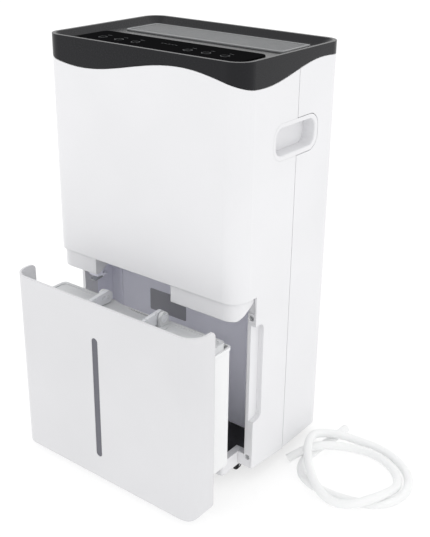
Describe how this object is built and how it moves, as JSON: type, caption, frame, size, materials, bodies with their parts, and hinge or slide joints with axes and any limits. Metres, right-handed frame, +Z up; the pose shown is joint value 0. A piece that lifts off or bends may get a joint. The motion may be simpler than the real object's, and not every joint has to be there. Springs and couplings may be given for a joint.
{
  "type": "dehumidifier",
  "caption": "Portable room dehumidifier on casters with a dark dished top, side grips and a pull-out water tank, shown drawn out with a drain hose beside it.",
  "frame": {"origin": "on the floor, under the centre of the machine with its tank drawn out", "axes": "+Z up, -Y towards the front, +X towards the machine's right-hand side seen from the front"},
  "size_m": [0.533, 0.3377, 0.62],
  "materials": {
    "white_abs": "satin moulded",
    "charcoal_abs": "fine texture",
    "black_gloss": "polished",
    "grey_abs": "satin",
    "bay_abs": "matte",
    "black_abs": "matte",
    "smoke_clear": "translucent",
    "tank_clear": "translucent",
    "foam": "foamed",
    "steel_black": "semi gloss",
    "steel_zinc": "zinc plated",
    "copper": "drawn tube",
    "fin_aluminium": "mill finish",
    "rubber_black": "matte",
    "board_green": "laminate",
    "paper_grey": "film",
    "mesh_grey": "woven",
    "hose_clear": "clear flexible"
  },
  "bodies": {
    "cabinet": {"front_housing": "white_abs", "rear_housing": "white_abs", "top_cover": "charcoal_abs", "control_panel": "black_gloss", "outlet_grille": "grey_abs", "handle_pocket_right": "white_abs", "handle_pocket_left": "white_abs", "tank_bay": "bay_abs", "side_frame_right": "white_abs", "side_frame_left": "white_abs", "base_sill": "white_abs", "base_pan": "black_abs", "rating_plate": "paper_grey", "strip_screws": "steel_zinc", "micro_switch": "black_abs", "fan_scroll": "grey_abs", "fan_motor": "steel_zinc", "evaporator": "fin_aluminium", "condenser": "fin_aluminium", "coil_frame": "steel_zinc", "drip_tray": "grey_abs", "inner_drain_tube": "rubber_black", "drain_spout": "black_abs", "compressor": "steel_black", "compressor_feet": "rubber_black", "run_capacitor": "grey_abs", "suction_line": "copper", "discharge_line": "copper", "capillary_line": "copper", "control_board": "board_green", "lead_gland": "black_abs"},
    "tank": {"tank_front_panel": "white_abs", "level_window": "smoke_clear", "tank_body": "tank_clear"},
    "lid": {"tank_lid": "tank_clear"},
    "carry_handle": {"tank_handle": "tank_clear"},
    "float": {"tank_float": "foam"},
    "switch": {"switch_lever": "steel_zinc"},
    "blower": {"blower_wheel": "black_abs", "motor_shaft": "steel_zinc"},
    "filter": {"filter_frame": "white_abs", "filter_mesh": "mesh_grey"},
    "hose": {"drain_hose": "hose_clear"},
    "swivel_front_left": {"caster_fork_front_left": "black_abs", "caster_axle_front_left": "steel_zinc"},
    "wheel_front_left": {"caster_wheel_front_left": "black_abs"},
    "swivel_front_right": {"caster_fork_front_right": "black_abs", "caster_axle_front_right": "steel_zinc"},
    "wheel_front_right": {"caster_wheel_front_right": "black_abs"},
    "swivel_rear_left": {"caster_fork_rear_left": "black_abs", "caster_axle_rear_left": "steel_zinc"},
    "wheel_rear_left": {"caster_wheel_rear_left": "black_abs"},
    "swivel_rear_right": {"caster_fork_rear_right": "black_abs", "caster_axle_rear_right": "steel_zinc"},
    "wheel_rear_right": {"caster_wheel_rear_right": "black_abs"}
  },
  "joints": [
    {"name": "tank_slide", "type": "slide", "parent": "cabinet", "child": "tank", "axis": [0, -1, 0], "range_m": [-0.088, 0.06]},
    {"name": "lid_lift", "type": "slide", "parent": "tank", "child": "lid", "axis": [0, 0, 1], "range_m": [0, 0.1]},
    {"name": "handle_fold", "type": "hinge", "parent": "lid", "child": "carry_handle", "pos_m": [0, -0.09, 0.262], "axis": [-1, 0, 0], "range_deg": [0, 90]},
    {"name": "float_swing", "type": "hinge", "parent": "tank", "child": "float", "pos_m": [-0.135, -0.104, 0.073], "axis": [-1, 0, 0], "range_deg": [0, 40]},
    {"name": "switch_press", "type": "hinge", "parent": "cabinet", "child": "switch", "pos_m": [-0.106, -0.045, 0.269], "axis": [-1, 0, 0], "range_deg": [0, 8], "stiffness_Nm_per_rad": 0.02},
    {"name": "fan_spin", "type": "hinge", "parent": "cabinet", "child": "blower", "pos_m": [0, -0.017, 0.455], "axis": [0, 1, 0], "continuous": true},
    {"name": "filter_pull", "type": "slide", "parent": "cabinet", "child": "filter", "axis": [0, 1, 0], "range_m": [0, 0.08]},
    {"name": "hose_lift", "type": "slide", "parent": "cabinet", "child": "hose", "axis": [0, 0, 1], "range_m": [0, 0.1]},
    {"name": "swivel_front_left", "type": "hinge", "parent": "cabinet", "child": "swivel_front_left", "pos_m": [-0.127, -0.014, 0.022], "axis": [0, 0, 1], "continuous": true},
    {"name": "roll_front_left", "type": "hinge", "parent": "swivel_front_left", "child": "wheel_front_left", "pos_m": [-0.127, -0.009, 0.009], "axis": [1, 0, 0], "continuous": true},
    {"name": "swivel_front_right", "type": "hinge", "parent": "cabinet", "child": "swivel_front_right", "pos_m": [0.127, -0.014, 0.022], "axis": [0, 0, 1], "continuous": true},
    {"name": "roll_front_right", "type": "hinge", "parent": "swivel_front_right", "child": "wheel_front_right", "pos_m": [0.127, -0.009, 0.009], "axis": [1, 0, 0], "continuous": true},
    {"name": "swivel_rear_left", "type": "hinge", "parent": "cabinet", "child": "swivel_rear_left", "pos_m": [-0.127, 0.131, 0.022], "axis": [0, 0, 1], "continuous": true},
    {"name": "roll_rear_left", "type": "hinge", "parent": "swivel_rear_left", "child": "wheel_rear_left", "pos_m": [-0.127, 0.136, 0.009], "axis": [1, 0, 0], "continuous": true},
    {"name": "swivel_rear_right", "type": "hinge", "parent": "cabinet", "child": "swivel_rear_right", "pos_m": [0.127, 0.131, 0.022], "axis": [0, 0, 1], "continuous": true},
    {"name": "roll_rear_right", "type": "hinge", "parent": "swivel_rear_right", "child": "wheel_rear_right", "pos_m": [0.127, 0.136, 0.009], "axis": [1, 0, 0], "continuous": true}
  ]
}
